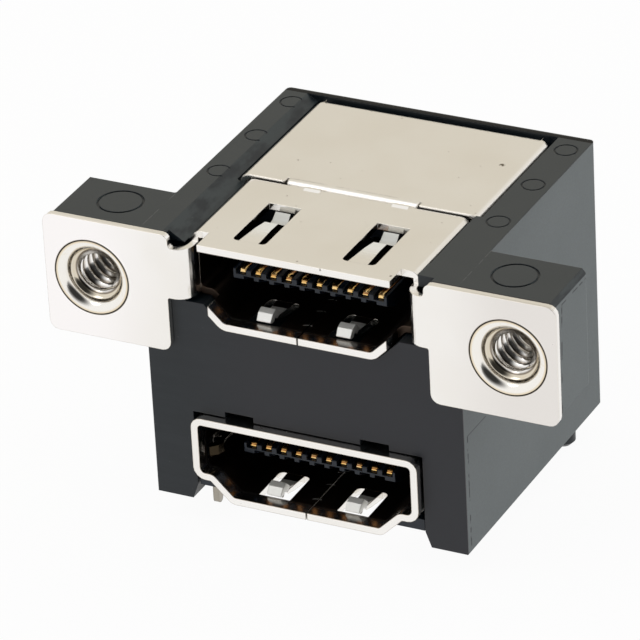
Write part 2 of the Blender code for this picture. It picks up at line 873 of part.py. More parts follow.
def build_tail_aligner():
    low = (-block_half, tail_rows[0] - aligner_margin, aligner_bottom)
    high = (block_half, tail_rows[-1] + aligner_margin, aligner_top)
    aligner = part("tail_aligner", boxes_mesh("tail_aligner", [(low, high)]), insulator_black)
    wide = contact_width / 2 + aligner_hole_gap
    deep = contact_thickness / 2 + aligner_hole_gap
    holes = []
    for row, count in zip(tail_rows, (bottom_contacts, top_contacts) * 2):
        for place in contact_places(count):
            holes.append(((place - wide, row - deep, aligner_bottom - past),
                          (place + wide, row + deep, aligner_top + past)))
    cut(aligner, tool("aligner_holes", boxes_mesh("holes", holes)))


def insert_profile():
    """An insert's radius and height: head, body, bore, ring, and a funnel that rolls out to the rim."""
    front = bend_gap + sheet
    back = -ear_depth + insert_setback
    lead = insert_setback / 4
    body = insert_head_radius - insert_body_step
    rim = insert_head_radius - insert_rim_width
    flare = rim - insert_mouth_radius
    funnel = []
    for step in range(2 * fillet_steps + 1):
        turn = math.pi / 4 * step / fillet_steps
        funnel.append((insert_mouth_radius + flare * (1 - math.cos(turn)),
                       front - insert_mouth_depth * (1 - math.sin(turn))))
    return [
        (insert_head_radius - insert_rim_round, front),
        (insert_head_radius, front - insert_rim_round),
        (insert_head_radius, -insert_head_depth),
        (body, -insert_head_depth),
        (body, back + lead),
        (body - lead, back),
        (insert_bore_radius + lead, back),
        (insert_bore_radius, back + lead),
        (insert_bore_radius, front - insert_ring_depth - lead),
        (insert_ring_radius, front - insert_ring_depth),
    ] + funnel


def build_inserts():
    """Two turned threaded inserts, with their heads flush with the flanges."""
    for side, hand in ((-1, "left"), (1, "right")):
        turned_object(lambda name, mesh: part(name, mesh, insert_metal), f"insert_{hand}", insert_profile(),
                      (side * insert_x, 0, insert_height), (0, -1, 0), True)


def aperture_outline():
    """The lower port's cut in the front wall: open below, with two finger notches above."""
    notch_out = half_aperture - finger_notch_inset + finger_notch_width / 2
    notch_in = notch_out - finger_notch_width
    notch_top = aperture_top + finger_notch_height
    right_half = [
        (half_aperture + leg_draft, -past),
        (half_aperture + leg_draft, 0.0),
        (half_aperture, leg_draft_height),
        (half_aperture, aperture_top),
        (notch_out, aperture_top),
        (notch_out, notch_top),
        (notch_in, notch_top),
        (notch_in, aperture_top),
    ]
    return mirrored(right_half)


def saddle_outline():
    """The upper port's cut in the front wall: the shell's lower outline, open above."""
    corners = grown(port_corners(upper_floor), sheet + saddle_gap)
    right_half = corners[:3] + [(corners[2][0], housing_height + past)]
    return mirrored(right_half)


def housing_plan():
    """The housing seen from above: block and ears in one outline."""
    right_half = [(half_ear, 0.0), (half_ear, ear_depth), (half_housing, ear_depth),
                  (half_housing, housing_depth)]
    radii = [front_corner, front_corner, front_corner, back_corner]
    return rounded(mirrored(right_half), radii + radii[::-1])


def cavity_plan():
    """The upper cavity seen from above: narrow beside the upper shell, wide behind it."""
    right_half = [(half_bay, front_wall), (half_bay, shell_bay_depth), (half_cavity, shell_bay_depth),
                  (half_cavity, housing_depth - back_wall)]
    return mirrored(right_half)


def ear_bore_profile():
    head = insert_head_radius + insert_clearance
    body = insert_head_radius - insert_body_step + insert_clearance
    floor = -insert_head_depth - insert_clearance
    return [(0.0, past), (head, past), (head, floor), (body, floor), (body, -ear_depth - past),
            (0.0, -ear_depth - past)]


def ring_profile(radius, line, depth):
    """The shallow ring that an ejector pin leaves in the moulding."""
    inner = radius - line
    return [(inner, past), (radius, past), (radius, -depth), (inner, -depth)]


def build_housing():
    block = outline_mesh("housing", [housing_plan()], "z", 0.0, housing_height)
    housing = part("housing", block, black_plastic)
    under_ears = []
    for low, high in ((-half_panel - past, -half_housing), (half_housing, half_panel + past)):
        under_ears.append(((low, -past, -past), (high, ear_depth + past, ear_bottom)))
    cut(housing, tool("under_ears", boxes_mesh("under_ears", under_ears)))
    split = wing_height + past
    lower_box = ((-half_cavity, front_wall, -past), (half_cavity, housing_depth - back_wall, split))
    cut(housing, tool("lower_cavity", boxes_mesh("cavity", [lower_box])))
    upper = outline_mesh("upper_cavity", [cavity_plan()], "z", split - past / 2, housing_height + past)
    cut(housing, tool("upper_cavity", upper))

    wall_end = front_wall + past
    cut(housing, tool("aperture", outline_mesh("aperture", [aperture_outline()], "y", -past, wall_end)))
    cut(housing, tool("saddle", outline_mesh("saddle", [saddle_outline()], "y", -past, wall_end)))

    support_top = upper_floor - sheet - saddle_gap - tuck
    support = ((-support_width / 2, front_wall - past, support_top - support_thickness),
               (support_width / 2, shell_back, support_top))
    join(housing, tool("shell_support", boxes_mesh("support", [support])))

    neck_low = upper_floor + neck_bottom - neck_clearance
    neck_high = upper_floor + port_height - neck_top_drop + neck_clearance
    for name, low, high, depth in (("neck_recess", neck_low, neck_high, flange_bend + neck_clearance),
                                   ("notch_recess", neck_high - past, housing_height + past, notch_recess)):
        trims = []
        for side in (-1, 1):
            inner = side * (half_port + past / 2)
            outer = side * (flange_inner + neck_clearance)
            trims.append(((min(inner, outer), -past, low), (max(inner, outer), depth, high)))
        cut(housing, tool(name, boxes_mesh("recess", trims)))

    slope = left_bevel_depth / left_bevel_width
    top = housing_height + past
    bevel = [(-half_bay + past, top), (-half_cavity - left_bevel_width - past / slope, top),
             (-half_bay + past, housing_height - slope * (left_bevel_width + half_cavity - half_bay + past))]
    mesh = outline_mesh("bevel", [bevel], "y", neck_clearance, housing_depth - back_wall)
    cut(housing, tool("left_bevel", mesh))
    for side, hand in ((-1, "left"), (1, "right")):
        outline = [(side * (half_ear - ear_chamfer - past), top),
                   (side * (half_ear + past), housing_height - ear_chamfer - past),
                   (side * (half_ear + past), top)][::side]
        mesh = outline_mesh("chamfer", [outline], "y", -past, ear_depth + past)
        cut(housing, tool(f"ear_chamfer_{hand}", mesh))

    for side, hand in ((-1, "left"), (1, "right")):
        cut(housing, turned_object(tool, f"ear_bore_{hand}", ear_bore_profile(),
                                   (side * insert_x, 0, insert_height), (0, -1, 0), False))
        ring = ring_profile(ear_mark_diameter / 2, ear_mark_line, ear_mark_depth)
        place = (side * (insert_x - ear_mark_shift), ear_mark_place, housing_height)
        cut(housing, turned_object(tool, f"ear_mark_{hand}", ring, place, (0, 0, 1), True))
        ring = ring_profile(wall_mark_diameter / 2, mark_line, mark_depth)
        for number, inset in enumerate(wall_mark_insets):
            place = (side * (half_housing + half_cavity) / 2, housing_depth - inset, housing_height)
            cut(housing, turned_object(tool, f"wall_mark_{hand}_{number}", ring, place, (0, 0, 1), True))
        radius = peg_diameter / 2
        peg = [(0.0, past), (radius, past), (radius, peg_chamfer - peg_length),
               (radius - peg_chamfer, -peg_length), (0.0, -peg_length)]
        place = (side * (half_housing + half_cavity) / 2, housing_depth - peg_inset, 0.0)
        join(housing, turned_object(tool, f"locating_peg_{hand}", peg, place, (0, 0, 1), False))


def finish_parts():
    """Turns each part into its finished mesh, shaded smooth on round faces and sharp at its edges."""
    depsgraph = bpy.context.evaluated_depsgraph_get()
    finished = []
    for thing in parts.objects:
        if thing.type == "MESH":
            finished.append((thing, bpy.data.meshes.new_from_object(thing.evaluated_get(depsgraph))))
    for thing, mesh in finished:
        mesh.shade_smooth()
        mesh.set_sharp_from_angle(angle=sharp_angle)
        thing.modifiers.clear()
        thing.data = mesh


clear_scene()
parts = new_collection("stacked_video_socket")
tools = new_collection("cutters")

black_plastic = new_material("black_plastic", (0.045, 0.052, 0.057), 0.5, 0.0)
insulator_black = new_material("insulator_black", (0.03, 0.034, 0.045), 0.45, 0.0)
nickel = new_material("nickel_sheet", (0.76, 0.73, 0.68), 0.28, 1.0)
gold = new_material("contact_gold", (0.86, 0.62, 0.28), 0.25, 1.0)
insert_metal = new_material("insert_metal", (0.74, 0.71, 0.66), 0.22, 1.0)

seat = bpy.data.objects.new("board_seat", None)
parts.objects.link(seat)
seat.location = (0.0, (upper_lip - housing_depth) / 2, tail_drop)

build_housing()
build_upper_shell()
build_lower_shell()
build_rear_shield()
build_upper_insulator()
build_lower_insulator()
build_contacts()
build_tail_aligner()
build_inserts()
finish_parts()
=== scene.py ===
import math

import bpy
import numpy as np
from mathutils import Matrix, Vector


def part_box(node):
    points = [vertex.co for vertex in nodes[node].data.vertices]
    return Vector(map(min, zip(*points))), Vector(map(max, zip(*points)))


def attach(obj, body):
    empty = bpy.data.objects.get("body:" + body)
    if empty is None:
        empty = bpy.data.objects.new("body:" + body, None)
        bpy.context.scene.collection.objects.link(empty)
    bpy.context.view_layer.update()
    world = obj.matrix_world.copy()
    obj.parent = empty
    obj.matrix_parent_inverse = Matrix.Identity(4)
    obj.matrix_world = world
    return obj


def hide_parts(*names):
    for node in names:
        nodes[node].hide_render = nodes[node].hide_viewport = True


# Looks for the stacked video socket: finishes, threaded inserts, formed contacts, studio and camera.
# Sizes in the dictionaries are millimetres unless a note says otherwise. A noise is given as its scale
# per metre, its detail, its roughness and, in some, factors on x, y and z, where less than 1 draws it out
# along that axis. A span is the pair of levels between which a smooth ramp changes.

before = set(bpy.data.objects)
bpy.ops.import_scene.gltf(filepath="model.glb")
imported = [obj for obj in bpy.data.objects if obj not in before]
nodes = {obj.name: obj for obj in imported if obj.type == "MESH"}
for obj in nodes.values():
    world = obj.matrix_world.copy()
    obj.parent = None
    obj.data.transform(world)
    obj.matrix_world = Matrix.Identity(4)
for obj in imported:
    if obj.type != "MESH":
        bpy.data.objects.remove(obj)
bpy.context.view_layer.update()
scene = bpy.context.scene
mm = 0.001
housingLow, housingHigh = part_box("housing")
insertLow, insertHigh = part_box("insert_right")
frontY = housingLow.y  # the housing's front face
topZ = housingHigh.z  # the housing's top face
insertX = (insertLow.x + insertHigh.x) / 2
insertZ = (insertLow.z + insertHigh.z) / 2
headRadius = (insertHigh.x - insertLow.x) / 2
print("frame loaded,", len(nodes), "nodes")


class Signal:  # one output socket, with arithmetic that adds Math nodes
    def __init__(self, tree, socket):
        self.tree = tree
        self.socket = socket

    def reckon(self, operation, *values):
        node = self.tree.nodes.new("ShaderNodeMath")
        node.operation = operation
        for place, value in enumerate(values):
            plug(self.tree, node.inputs[place], value)
        return Signal(self.tree, node.outputs[0])

    def __add__(self, other):
        return self.reckon("ADD", self, other)

    def __radd__(self, other):
        return self.reckon("ADD", other, self)

    def __sub__(self, other):
        return self.reckon("SUBTRACT", self, other)

    def __rsub__(self, other):
        return self.reckon("SUBTRACT", other, self)

    def __mul__(self, other):
        return self.reckon("MULTIPLY", self, other)

    def __rmul__(self, other):
        return self.reckon("MULTIPLY", other, self)

    def __abs__(self):
        return self.reckon("ABSOLUTE", self)

    def root(self):
        return self.reckon("SQRT", self)

    def above(self, level):
        return self.reckon("GREATER_THAN", self, level)

    def below(self, level):
        return self.reckon("LESS_THAN", self, level)

    def larger(self, other):
        return self.reckon("MAXIMUM", self, other)


def plug(tree, socket, value):  # links a signal, or sets a plain value
    if isinstance(value, Signal):
        tree.links.new(value.socket, socket)
    else:
        socket.default_value = value


def rgba(colour):  # a colour with its alpha, or a signal as it is
    return colour if isinstance(colour, Signal) else (*colour, 1.0)


class Painter:  # fills the node tree of one material or world
    def __init__(self, owner):
        self.owner = owner
        owner.use_nodes = True
        self.tree = owner.node_tree
        self.tree.nodes.clear()

    def add(self, kind, settings=None, sockets=None, output=0):  # any node, by its type
        node = self.tree.nodes.new(kind)
        for name, value in (settings or {}).items():
            setattr(node, name, value)
        for name, value in (sockets or {}).items():
            plug(self.tree, node.inputs[name], value)
        return Signal(self.tree, node.outputs[output]) if len(node.outputs) else None

    def place(self):  # Object coordinates
        return self.add("ShaderNodeTexCoord", output="Object")

    def axis(self, where, name):  # one of X, Y and Z
        return self.add("ShaderNodeSeparateXYZ", None, {0: where}, name)

    def noise(self, where, scale, detail=2.0, rough=0.5, factors=(1, 1, 1)):  # noise of the scaled place
        mapped = self.add("ShaderNodeMapping", None, {"Vector": where, "Scale": factors})
        return self.add("ShaderNodeTexNoise", None,
                        {"Vector": mapped, "Scale": scale, "Detail": detail, "Roughness": rough})

    def ramp(self, value, low, high, start=0.0, end=1.0):  # a smooth step between two levels
        return self.add("ShaderNodeMapRange", {"interpolation_type": "SMOOTHSTEP"},
                        {"Value": value, "From Min": low, "From Max": high, "To Min": start, "To Max": end})

    def line(self, value, at, halfWidth):  # 1 on the line, falling to 0 a half width away
        return self.ramp(abs(value - at), 0.0, halfWidth, 1.0, 0.0)

    def spot(self, first, second, middle, radius):  # 1 in the core, falling to 0 at the radius
        across, along = first - middle[0], second - middle[1]
        core = 0.3 * radius
        return self.ramp((across * across + along * along).root(), core, radius, 1.0, 0.0)

    def mix(self, factor, first, second):  # first times (1 less factor) plus second times factor
        return self.add("ShaderNodeMix", {"data_type": "RGBA"},
                        {0: factor, 6: rgba(first), 7: rgba(second)}, 2)

    def dot(self, first, second):  # the cosine, where both vectors have length 1
        return self.add("ShaderNodeVectorMath", {"operation": "DOT_PRODUCT"}, {0: first, 1: second}, "Value")

    def edges(self, radius, samples=6):  # the normal as if every edge had that radius
        return self.add("ShaderNodeBevel", {"samples": samples}, {"Radius": radius})

    def facing(self):  # the way that the surface looks
        return self.add("ShaderNodeNewGeometry", output="Normal")

    def edgeMask(self, rounded):  # where the rounded normal turns away: 1 less the cosine, as a ramp
        return self.ramp(1.0 - self.dot(self.facing(), rounded), 0.01, 0.16)

    def bump(self, height, distance, normal=None):  # tilts the normal by the slope of a height
        sockets = {"Height": height, "Distance": distance}
        if normal is not None:
            sockets["Normal"] = normal
        return self.add("ShaderNodeBump", None, sockets)

    def axisRadius(self, where, x, z):  # distance from a line that runs along y
        across = self.axis(where, "X")
        across = (abs(across) if x > 0 else across) - abs(x)
        up = self.axis(where, "Z") - z
        return (across * across + up * up).root()

    def seen(self):  # 1 for the rays that show the background: camera, glossy and transmission
        rays = [self.add("ShaderNodeLightPath", output=name) for name in
                ("Is Camera Ray", "Is Glossy Ray", "Is Transmission Ray")]
        return rays[0].larger(rays[1]).larger(rays[2])

    def close(self, **sockets):  # ends a material with its surface shader
        shader = self.add("ShaderNodeBsdfPrincipled", None,
                          {name.replace("_", " "): value for name, value in sockets.items()})
        self.add("ShaderNodeOutputMaterial", None, {"Surface": shader})
        return self.owner


def gridMesh(name, points, capped=False):
    # Rows run along the first index and columns round the second. Each cell is one face. The rows join
    # up again, or each end row is filled with one cap. The sum of the corner tetrahedra's volumes tells
    # whether the faces point out.
    rows, columns = points.shape[:2]
    index = np.arange(rows * columns).reshape(rows, columns)
    here = index[:-1] if capped else index
    below = index[1:] if capped else np.roll(index, -1, 0)
    corners = [here, np.roll(here, -1, 1), np.roll(below, -1, 1), below]
    faces = np.stack([corner.ravel() for corner in corners], 1)
    flat = points.reshape(-1, 3)
    middle = flat.mean(0)
    a, b, c, d = (flat[faces[:, k]] - middle for k in range(4))
    volume = np.einsum("ij,ij->i", a, np.cross(b, c) + np.cross(c, d)).sum()
    polygons = faces.tolist()
    if capped:
        polygons += [index[0, ::-1].tolist(), index[-1].tolist()]
    if volume < 0:
        polygons = [polygon[::-1] for polygon in polygons]
    mesh = bpy.data.meshes.new(name)
    mesh.from_pydata(flat, [], polygons)
    mesh.shade_smooth()
    return mesh


def piece(name, mesh, material, slot, *stoodFor):  # a new object that stands for CAD nodes
    thing = bpy.data.objects.new(name, mesh)
    scene.collection.objects.link(thing)
    mesh.materials.append(material)
    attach(thing, "root")
    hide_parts(*stoodFor)


plastic = {
    "colour": (0.0040, 0.0085, 0.0125),
    "light": (0.0085, 0.0135, 0.0180),
    "worn": (0.085, 0.090, 0.092),
    "shine": 0.43,
    "roughness": 0.40,
    "edgeRadius": 0.07,
    "grain": (9000.0, 3.0, 0.6),
    "cloud": (260.0, 4.0, 0.55),
    "flow": (800.0, 3.0, 0.6, (0.25, 0.5, 2.4)),
    "flowSpan": (0.40, 0.62),
    "dust": (4200.0, 2.0, 0.5),
    "dustSpan": (0.73, 0.77),
    "rubbing": (2600.0, 4.0, 0.7),
    "rubbingSpan": (0.42, 0.66),
    "relief": 0.0025,
}

housingMarks = {
    # the side, top and slant tones are painted light: each face's brightness under the light, put into its
    # colour
    "side": (0.074, 0.092, 0.096),
    "sideLight": (0.0925, 0.1150, 0.1200),
    "sideSpan": (0.3, 0.7),
    "top": (0.0200, 0.0270, 0.0310),
    "litSlant": (0.0300, 0.0400, 0.0430),
    # painted light on the front face, lighter towards the right
    "front": (0.0120, 0.0130, 0.0180),
    "frontSpan": (-9.5, -2.0),  # from left to right, where the front gets lighter
    "frontSkin": 0.1,  # a skin is how far behind a face its mark still counts
    "dark": (0.002, 0.002, 0.003),
    "squareSpan": (0.80, 0.97),  # how squarely a face looks up or sideways
    "slantSpan": (0.40, 0.60),
    "slantEnd": 0.9,
    "slantFlow": (0.35, 0.60),
    "halfWidth": 10.285,  # from the middle to the housing's side
    "sideSkin": 0.04,
    "earSide": 16.35,
    "earSkin": 0.1,
    "topSkin": 0.02,
    "dashes": (1300.0, 2.0, 0.6),
    "dashSpan": (0.44, 0.54),
    "thinLine": 0.05,  # half widths of the parting lines
    "wideLine": 0.13,
    "levelLine": 0.078,
    "earEdgeBack": 0.92,  # back means from the front face, and down from the top face
    "earEdgeDown": 0.52,
    "earLineBack": 1.04,  # the upright line on the ear
    "earLineDown": 0.5,
    "earLineLean": 0.05,
    "sideLineBack": 0.50,  # the upright line low on the housing's side
    "sideLineDown": 10.2,
    "sideLevelBack": 3.1,  # the short level line at its top
    "shadedBackEdge": 19.28,  # where the thin back wall starts
    "backRimHighlight": 0.13,
}


def markHousing(paint, where, noises, colour, height, worn, marks):
    # Masks are products of steps and smooth ramps of x, y, z and the way that a face looks. Painted light
    # makes the sides greyer and lighter, the tops and slants lighter, and the front lighter towards the
    # right; the top of the thin back wall is painted shade with a painted highlight along its back edge. The
    # mould's parting
    # shows as broken lines: a light one across the top of each ear, and dark ones behind the front edges of
    # the sides and ears.
    grain, flow, dust = noises
    hand, deep, up = (paint.axis(where, name) for name in ("X", "Y", "Z"))
    across = abs(hand)
    clean = 1.0 - dust * 0.5
    nearTop = topZ - marks["topSkin"] * mm
    outer = across.above((marks["halfWidth"] - marks["sideSkin"]) * mm) * up.below(nearTop)
    outer = outer * paint.ramp(abs(paint.axis(paint.facing(), "X")), *marks["squareSpan"])
    # painted light: the outer sides greyer and lighter
    litSideGrey = paint.mix(paint.ramp(grain, *marks["sideSpan"]), marks["side"], marks["sideLight"])
    colour = paint.mix(outer * clean, colour, litSideGrey)
    # painted light: the tops and slants lighter
    lean = paint.axis(paint.facing(), "Z")
    upward = paint.ramp(lean, *marks["squareSpan"]) * up.above(nearTop)
    colour = paint.mix(upward * clean, colour, marks["top"])
    slanted = paint.ramp(lean, *marks["slantSpan"]) * lean.below(marks["slantEnd"])
    colour = paint.mix(slanted * paint.ramp(flow, *marks["slantFlow"]), colour, marks["litSlant"])
    # painted light: the front face lighter towards the right
    left, right = (value * mm for value in marks["frontSpan"])
    middle = deep.below(frontY + marks["frontSkin"] * mm) * paint.ramp(hand, left, right)
    colour = paint.mix(middle, colour, marks["front"])

    thin, wide, level = (marks[key] * mm for key in ("thinLine", "wideLine", "levelLine"))
    dashes = paint.ramp(paint.noise(where, *marks["dashes"]), *marks["dashSpan"])
    earTop = paint.line(across, marks["halfWidth"] * mm, thin) * up.above(topZ - thin) * dashes
    leaning = deep - (up - topZ) * marks["earLineLean"]
    earLine = paint.line(leaning, frontY + marks["earLineBack"] * mm, wide)
    earLine = earLine * up.below(topZ - marks["earLineDown"] * mm)
    earEdge = paint.line(up, topZ - marks["earEdgeDown"] * mm, level)
    earEdge = earEdge * deep.above(frontY + marks["earEdgeBack"] * mm)
    sideBack = frontY + marks["sideLineBack"] * mm
    sideTop = topZ - marks["sideLineDown"] * mm
    sideLine = paint.line(deep, sideBack, wide) * up.below(sideTop) * dashes
    sideLevel = paint.line(up, sideTop, level) * deep.above(sideBack)
    sideLevel = sideLevel * deep.below(frontY + marks["sideLevelBack"] * mm)
    onEar = across.above((marks["earSide"] - marks["earSkin"]) * mm)
    onSide = sideLine.larger(sideLevel * 0.7) * (1.0 - onEar)
    dark = (earLine.larger(earEdge) * onEar * dashes).larger(onSide) * outer
    # painted shade on the top of the thin back wall, with a painted highlight along its back edge
    back = upward * deep.above(frontY + marks["shadedBackEdge"] * mm)
    rim = back * paint.line(deep, housingHigh.y, marks["backRimHighlight"] * mm)
    colour = paint.mix(earTop * 0.7, colour, worn)
    colour = paint.mix(dark.larger(back) * 0.9, colour, marks["dark"])
    colour = paint.mix(rim, colour, worn)
    pitch = dark.larger(back * (1.0 - rim))  # metal without colour is the deepest black
    return colour, height - (earTop + dark) * 3.0, pitch


def mouldedPlastic(name, values, tint=(1.0, 1.0, 1.0), marks=None):
    # Two noises mix a dark and a lighter colour. Worn colour lies on the dust specks and on the edges,
    # where the rounded normal turns away from the face's own: rubbed wear, and a painted edge highlight.
    paint = Painter(bpy.data.materials.new(name))
    where = paint.place()
    grain, cloud, flow = (paint.noise(where, *values[key]) for key in ("grain", "cloud", "flow"))
    dust = paint.ramp(paint.noise(where, *values["dust"]), *values["dustSpan"])
    base, light = (tuple(c * t for c, t in zip(values[key], tint)) for key in ("colour", "light"))
    colour = paint.mix(paint.ramp(cloud * 0.6 + flow * 0.4, *values["flowSpan"]), base, light)
    colour = paint.mix(dust * 0.5, colour, values["worn"])
    rounded = paint.edges(values["edgeRadius"] * mm)
    rubbedAndHighlitEdges = paint.ramp(paint.noise(where, *values["rubbing"]), *values["rubbingSpan"])
    rubbedAndHighlitEdges = rubbedAndHighlitEdges * paint.edgeMask(rounded)
    # rubbed wear and a painted edge highlight, in one lighter colour
    colour = paint.mix(rubbedAndHighlitEdges * 0.6, colour, values["worn"])
    height = grain * 0.7 + flow * 0.5
    pitch = 0.0
    if marks:
        noises = (grain, flow, dust)
        colour, height, pitch = markHousing(paint, where, noises, colour, height, values["worn"], marks)
    normal = paint.bump(height, values["relief"] * mm, rounded)
    roughness = values["roughness"] + (cloud - 0.5) * 0.10 + (grain - 0.5) * 0.10 + rubbedAndHighlitEdges * 0.08
    return paint.close(Base_Color=colour, Roughness=roughness, Normal=normal, Metallic=pitch,
                       Specular_IOR_Level=values["shine"])


nickel = {
    "colour": (0.925, 0.905, 0.875),
    "dull": (0.885, 0.855, 0.810),
    "edge": (0.80, 0.70, 0.52),
    "tail": (0.36, 0.33, 0.28),
    "stainAndShade": (0.10, 0.075, 0.045),
    "board": 1.7,  # where the tails begin
    "roughness": 0.19,
    "edgeRadius": 0.075,
    "cloud": (160.0, 3.0, 0.5),
    "cloudSpan": (0.3, 0.75),
    "rolling": (2600.0, 4.0, 0.65, (0.08, 1.0, 1.0)),
    "specks": (2900.0, 1.0, 0.5),
    "speckSpan": (0.775, 0.80),
    "scratches": (500.0, 1.0, 0.4, (1.0, 3.4, 1.7)),
    "scratchWidth": 0.003,  # as a share of the noise's height
    "scratchPatches": (330.0, 2.0, 0.5),
    "scratchSpan": (0.55, 0.62),
    "waves": (240.0, 1.0, 0.4),
    "relief": 0.004,
    # painted shade at the gap round each insert's head
    "gapShade": 0.05,  # the dark line round each insert's head
}

plateMark = {  # a small dark mark on the top plate
    "place": (6.40, 14.77),  # from the middle and from the front face
    "radius": 0.24,
    "ragged": (5200.0, 2.0, 0.5, (1.0, 0.6, 1.0)),
    "raggedSpan": (0.42, 0.52),
}

port = {
    "lowerFloor": 2.66,
    "upperFloor": 14.51,
    "height": 4.6,
    "halfWidth": 7.0,
    "slopeStart": 4.8,
    "slopeWidth": 1.35,
    "slopeHeight": 1.32,
    "shelfStart": 6.1,
    "skin": 0.08,
    "insideSpan": (-0.1, 0.5),  # from the front face
    # painted shade inside the port
    "inside": (0.07, 0.050, 0.038),
    "topFinger": (3.55, 0.72, 0.80, 5.70),  # place and half width across, start and end from the front
    "floorFinger": (2.60, 0.66, 0.30, 3.40),
    "floorLift": (0.05, 0.95),  # the heights above the floor where its fingers are
    "sideFinger": (5.9, 2.25, 0.62),  # from the middle, height and half width
    "sideGap": 0.03,
    "windowHalf": 1.2,
    "windowDepth": 0.6,
    "windowTop": (0.33, 0.42),  # above the ceiling, where a finger sinks below the sheet
    "upwardSpan": (0.40, 0.70),
    "sidewaysSpan": (0.50, 0.80),
    # painted light: the fingers lighter and less metallic, the top fingers' ends darker
    "fingerLight": (0.90, 0.90, 0.86),
    "tip": (0.66, 0.66, 0.62),
    "tipStart": 4.2,
    # painted shade on the side fingers and window walls
    "wall": (0.035, 0.02625, 0.01575),
    "seam": (0.025, 0.01875, 0.01125),
    "seamHalf": 0.09,
    "seamSkin": 0.02,
    # painted highlights beside the seam
    "seamHighlights": (1.15, 3.0, 4.5),  # marks along the seam, from the front face
    "stitchHalf": 0.05,
    "stitchReach": 0.28,
    "stitchShift": 0.1,
    "stitchSkin": 0.05,
    "stitchCurve": 900.0,  # per metre, the share of x squared
    # painted shade on the lip's rounded edges
    "lip": (0.33, 0.26, 0.17),
    "lipSpan": (0.04, 0.12),
    "lipTop": 4.7,
    # painted light: the left flange lighter than the right
    "flanges": ((0.985, 0.955, 0.945), (0.800, 0.765, 0.730)),  # left and right
    "flangeSpan": (8.5, 14.0),  # from the middle
    "flangeFront": 0.3,
}


def insideOfPort(paint, where, floor, values):
    # 1 on the inner faces of a D-shaped port: close to its floor, slopes, shelves, sides or ceiling. The
    # distance from a slope's plane is (x times its height less z times its width) over its length.
    skin, height, half = (values[key] * mm for key in ("skin", "height", "halfWidth"))
    rise, run = values["slopeHeight"], values["slopeWidth"]
    across = abs(paint.axis(where, "X"))
    up = paint.axis(where, "Z") - floor * mm
    slope = (across - values["slopeStart"] * mm) * rise - up * run
    slope = (slope * (1 / math.hypot(run, rise))).above(-skin)
    shelf = up.below(rise * mm + skin) * across.above(values["shelfStart"] * mm)
    near = up.below(skin).larger(up.above(height - skin)).larger(slope)
    near = near.larger(across.above(half - skin)).larger(shelf)
    past = 0.1 * skin
    within = up.above(-past) * up.below(height + past) * across.below(half + past)
    start, end = (frontY + value * mm for value in values["insideSpan"])
    return near * within * paint.ramp(paint.axis(where, "Y"), start, end)


def fingers(paint, where, floor, values):
    # Masks as products of steps in x, y and z: the top fingers and the floor fingers, which get painted
    # light, and the side fingers with the window walls, which get painted shade
    across = abs(paint.axis(where, "X"))
    deep = paint.axis(where, "Y") - frontY
    up = paint.axis(where, "Z") - floor * mm
    spans = []
    for key in ("topFinger", "floorFinger"):
        place, half, start, end = (value * mm for value in values[key])
        spans.append(abs(across - place).below(half) * deep.above(start) * deep.below(end))
    ceiling = values["height"] * mm
    sunk, level = (ceiling + value * mm for value in values["windowTop"])
    hollow = up.above(ceiling - values["windowDepth"] * mm) * paint.ramp(up, sunk, level, 1.0, 0.0)
    upward = paint.ramp(paint.axis(paint.facing(), "Z"), *values["upwardSpan"])
    sideways = paint.ramp(abs(paint.axis(paint.facing(), "X")), *values["sidewaysSpan"])
    above = spans[0] * hollow * upward
    window = abs(across - values["topFinger"][0] * mm).below(values["windowHalf"] * mm)
    wall = window * hollow * sideways
    low, high = (value * mm for value in values["floorLift"])
    below = spans[1] * up.above(low) * up.below(high)
    place, height, half = (value * mm for value in values["sideFinger"])
    inner = (values["halfWidth"] - values["sideGap"]) * mm
    side = across.above(place) * across.below(inner) * abs(up - height).below(half)
    return above, below, side.larger(wall)


def seamHighlightArcs(paint, where, floor, values):
    # Short painted highlight arcs beside the seam: y plus a share of x squared stays at each mark's place
    across, deep, up = (paint.axis(where, name) for name in ("X", "Y", "Z"))
    bowed = deep + across * across * values["stitchCurve"]
    near = abs(across + values["stitchShift"] * mm).below(values["stitchReach"] * mm)
    near = near * up.below((floor + values["stitchSkin"]) * mm)
    half = values["stitchHalf"] * mm
    arcs = [paint.line(bowed, frontY + place * mm, half) * near for place in values["seamHighlights"]]
    return arcs[0].larger(arcs[1]).larger(arcs[2])


